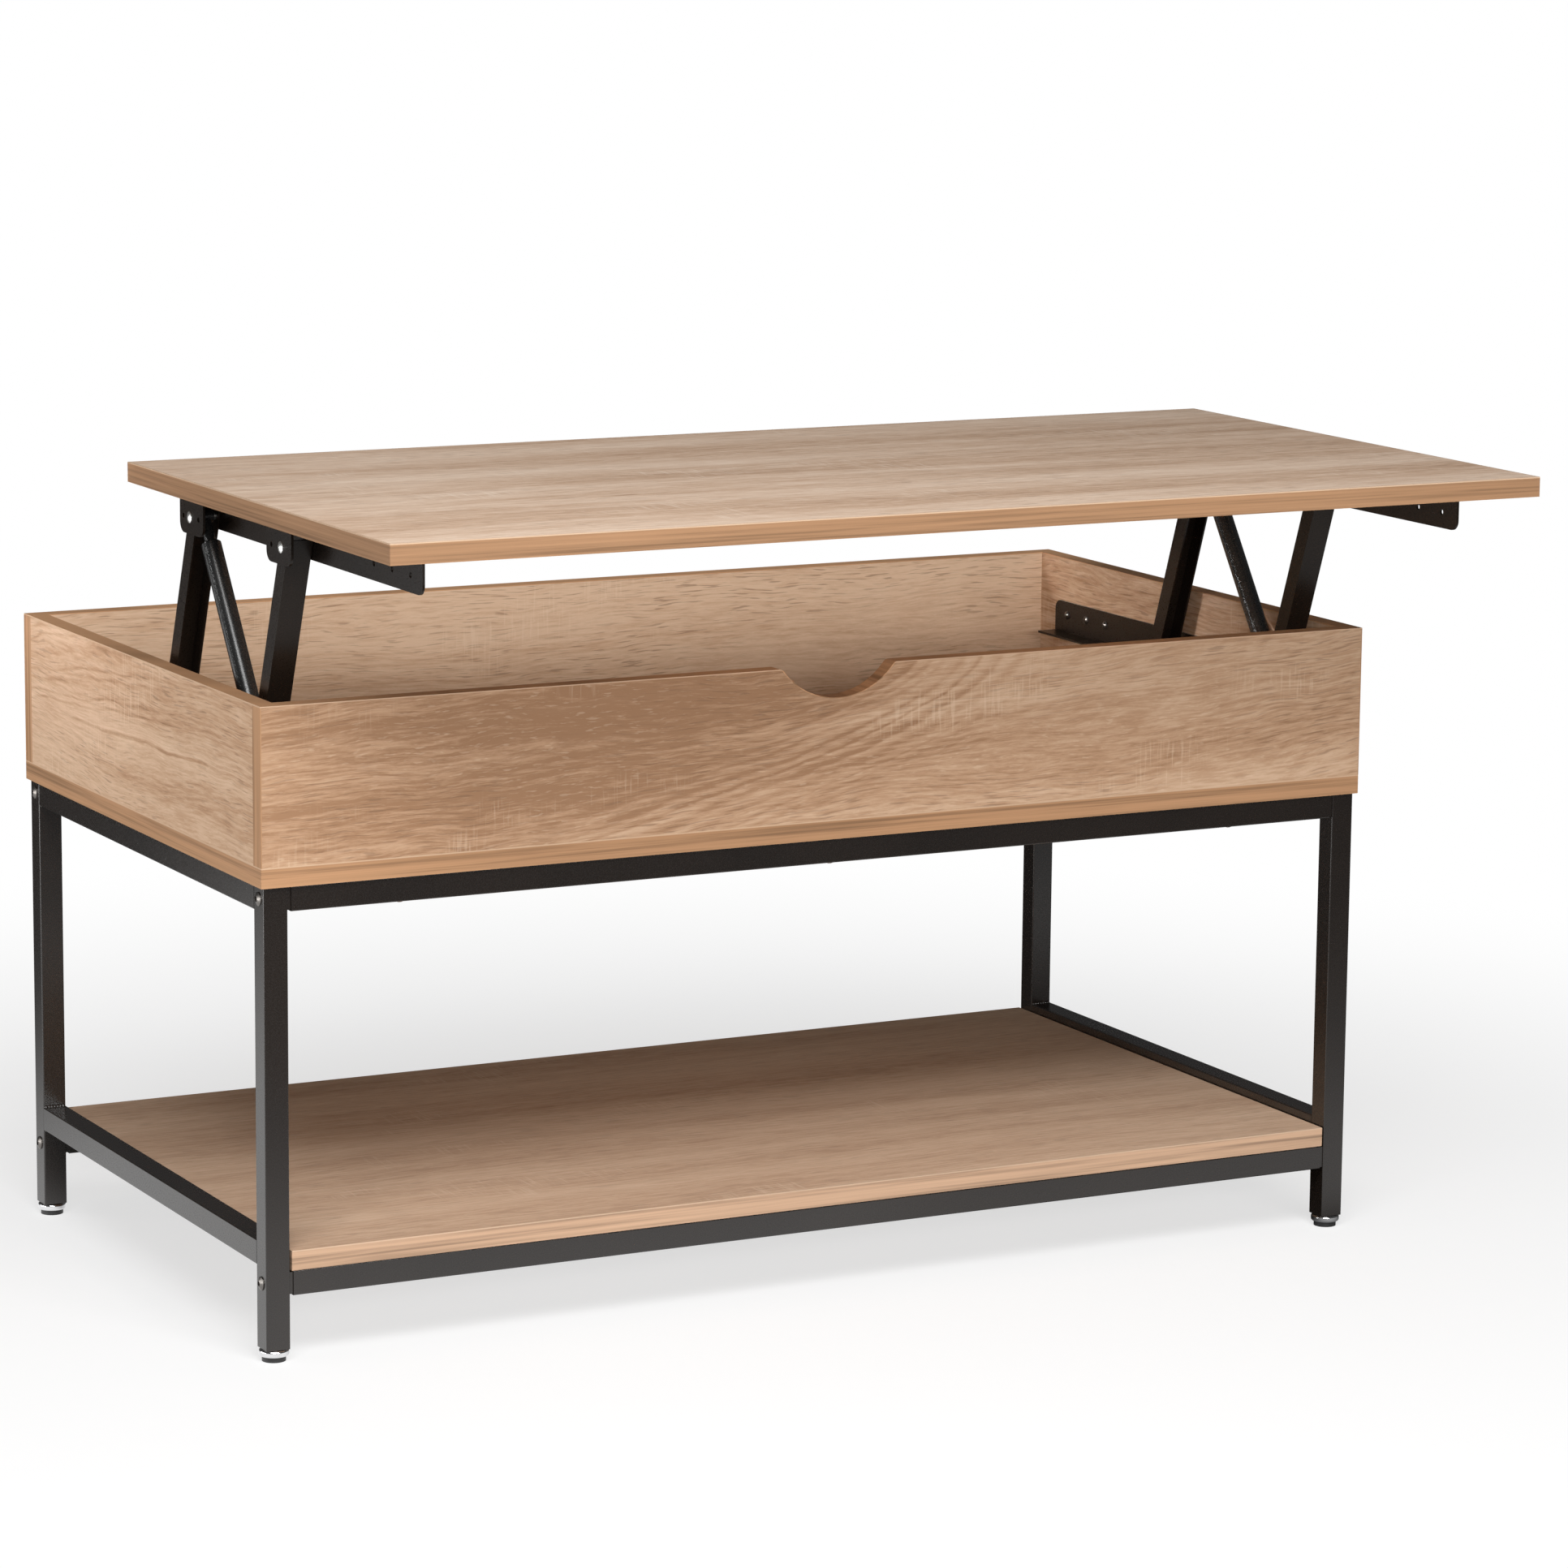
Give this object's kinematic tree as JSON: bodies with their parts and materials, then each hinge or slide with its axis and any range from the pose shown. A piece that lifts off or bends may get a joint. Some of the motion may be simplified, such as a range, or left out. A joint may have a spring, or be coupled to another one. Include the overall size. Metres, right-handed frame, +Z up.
{
  "type": "lift-top coffee dining table",
  "caption": "Rectangular coffee table with an oak-look storage case on a black tube frame and a low shelf; its top swings up and forward on parallel arms to dining height.",
  "frame": {"origin": "on the floor, under the middle of the storage case", "axes": "+X along the table's length, +Z up, -Y towards the front with the finger notch, where the top moves to"},
  "size_m": [1, 0.7812, 0.6781],
  "materials": {
    "oak_laminate": "matt oak-look laminate",
    "oak_edge_band": "matt edge band",
    "frame_paint": "satin black powder coat",
    "lift_paint": "satin black coat",
    "strut_steel": "semi-gloss dark grey",
    "black_plastic": "matt moulded",
    "chrome": "polished",
    "zinc": "bright zinc",
    "black_bolt": "black oxide",
    "dowel_wood": "plain beech"
  },
  "bodies": {
    "base": {"base_bracket_left": "lift_paint", "base_bracket_right": "lift_paint", "base_screws_left": "zinc", "base_screws_right": "zinc", "box_back_panel": "oak_laminate", "box_floor_panel": "oak_laminate", "box_front_panel": "oak_laminate", "box_left_panel": "oak_laminate", "box_right_panel": "oak_laminate", "case_dowels": "dowel_wood", "floor_edge_bands": "oak_edge_band", "floor_screws": "zinc", "frame_bolts": "black_bolt", "leg_back_left": "frame_paint", "leg_back_right": "frame_paint", "leg_front_left": "frame_paint", "leg_front_right": "frame_paint", "leg_inserts": "black_plastic", "lower_back_rail": "frame_paint", "lower_front_rail": "frame_paint", "lower_pivot_studs_left": "zinc", "lower_pivot_studs_right": "zinc", "lower_side_rail_left": "frame_paint", "lower_side_rail_right": "frame_paint", "rail_end_plates": "frame_paint", "rail_nuts": "zinc", "shelf_edge_bands": "oak_edge_band", "shelf_panel": "oak_laminate", "shelf_screws": "zinc", "upper_back_rail": "frame_paint", "upper_front_rail": "frame_paint", "upper_side_rail_left": "frame_paint", "upper_side_rail_right": "frame_paint", "wall_edge_bands": "oak_edge_band", "wall_screws": "zinc"},
    "top": {"top_panel": "oak_laminate", "top_edge_bands": "oak_edge_band", "top_screws": "zinc", "upper_bracket_left": "lift_paint", "upper_pivot_rivets_left": "zinc", "upper_bracket_right": "lift_paint", "upper_pivot_rivets_right": "zinc"},
    "rear_arm_left": {"rear_arm_left": "lift_paint"},
    "front_arm_left": {"front_arm_left": "lift_paint"},
    "strut_cylinder_left": {"strut_cylinder_left": "strut_steel", "strut_guide_left": "black_plastic"},
    "strut_rod_left": {"strut_rod_left": "strut_steel"},
    "rear_arm_right": {"rear_arm_right": "lift_paint"},
    "front_arm_right": {"front_arm_right": "lift_paint"},
    "strut_cylinder_right": {"strut_cylinder_right": "strut_steel", "strut_guide_right": "black_plastic"},
    "strut_rod_right": {"strut_rod_right": "strut_steel"},
    "foot_front_left": {"foot_front_left": "chrome", "foot_pad_front_left": "black_plastic"},
    "foot_front_right": {"foot_front_right": "chrome", "foot_pad_front_right": "black_plastic"},
    "foot_back_left": {"foot_back_left": "chrome", "foot_pad_back_left": "black_plastic"},
    "foot_back_right": {"foot_back_right": "chrome", "foot_pad_back_right": "black_plastic"}
  },
  "joints": [
    {"name": "lift", "type": "hinge", "parent": "base", "child": "rear_arm_left", "pos_m": [-0.465, 0.001, 0.46302], "axis": [-1, 0, 0], "range_deg": [0, 98.5]},
    {"name": "rear_arm_right_pivot", "type": "hinge", "parent": "base", "child": "rear_arm_right", "pos_m": [0.465, 0.001, 0.46302], "axis": [-1, 0, 0], "range_deg": [0, 98.5]},
    {"name": "front_arm_left_pivot", "type": "hinge", "parent": "base", "child": "front_arm_left", "pos_m": [-0.465, -0.189, 0.46302], "axis": [-1, 0, 0], "range_deg": [0, 98.5]},
    {"name": "front_arm_right_pivot", "type": "hinge", "parent": "base", "child": "front_arm_right", "pos_m": [0.465, -0.189, 0.46302], "axis": [-1, 0, 0], "range_deg": [0, 98.5]},
    {"name": "top_level", "type": "hinge", "parent": "rear_arm_left", "child": "top", "pos_m": [-0.465, -0.06398, 0.64156], "axis": [-1, 0, 0], "range_deg": [-98.5, 0]},
    {"name": "strut_cylinder_left_pivot", "type": "hinge", "parent": "top", "child": "strut_cylinder_left", "pos_m": [-0.465, -0.06398, 0.64156], "axis": [-1, 0, 0], "range_deg": [0, 49.25]},
    {"name": "strut_rod_left_pivot", "type": "hinge", "parent": "base", "child": "strut_rod_left", "pos_m": [-0.465, -0.189, 0.46302], "axis": [-1, 0, 0], "range_deg": [0, 49.25]},
    {"name": "strut_cylinder_right_pivot", "type": "hinge", "parent": "top", "child": "strut_cylinder_right", "pos_m": [0.465, -0.06398, 0.64156], "axis": [-1, 0, 0], "range_deg": [0, 49.25]},
    {"name": "strut_rod_right_pivot", "type": "hinge", "parent": "base", "child": "strut_rod_right", "pos_m": [0.465, -0.189, 0.46302], "axis": [-1, 0, 0], "range_deg": [0, 49.25]},
    {"name": "foot_front_left_level", "type": "slide", "parent": "base", "child": "foot_front_left", "axis": [0, 0, -1], "range_m": [0, 0.008]},
    {"name": "foot_front_right_level", "type": "slide", "parent": "base", "child": "foot_front_right", "axis": [0, 0, -1], "range_m": [0, 0.008]},
    {"name": "foot_back_left_level", "type": "slide", "parent": "base", "child": "foot_back_left", "axis": [0, 0, -1], "range_m": [0, 0.008]},
    {"name": "foot_back_right_level", "type": "slide", "parent": "base", "child": "foot_back_right", "axis": [0, 0, -1], "range_m": [0, 0.008]}
  ],
  "couplings": [
    {"joint": "rear_arm_right_pivot", "follows": "lift", "ratio": 1},
    {"joint": "front_arm_left_pivot", "follows": "lift", "ratio": 1},
    {"joint": "front_arm_right_pivot", "follows": "lift", "ratio": 1},
    {"joint": "top_level", "follows": "lift", "ratio": -1},
    {"joint": "strut_cylinder_left_pivot", "follows": "lift", "ratio": 0.5},
    {"joint": "strut_rod_left_pivot", "follows": "lift", "ratio": 0.5},
    {"joint": "strut_cylinder_right_pivot", "follows": "lift", "ratio": 0.5},
    {"joint": "strut_rod_right_pivot", "follows": "lift", "ratio": 0.5}
  ]
}
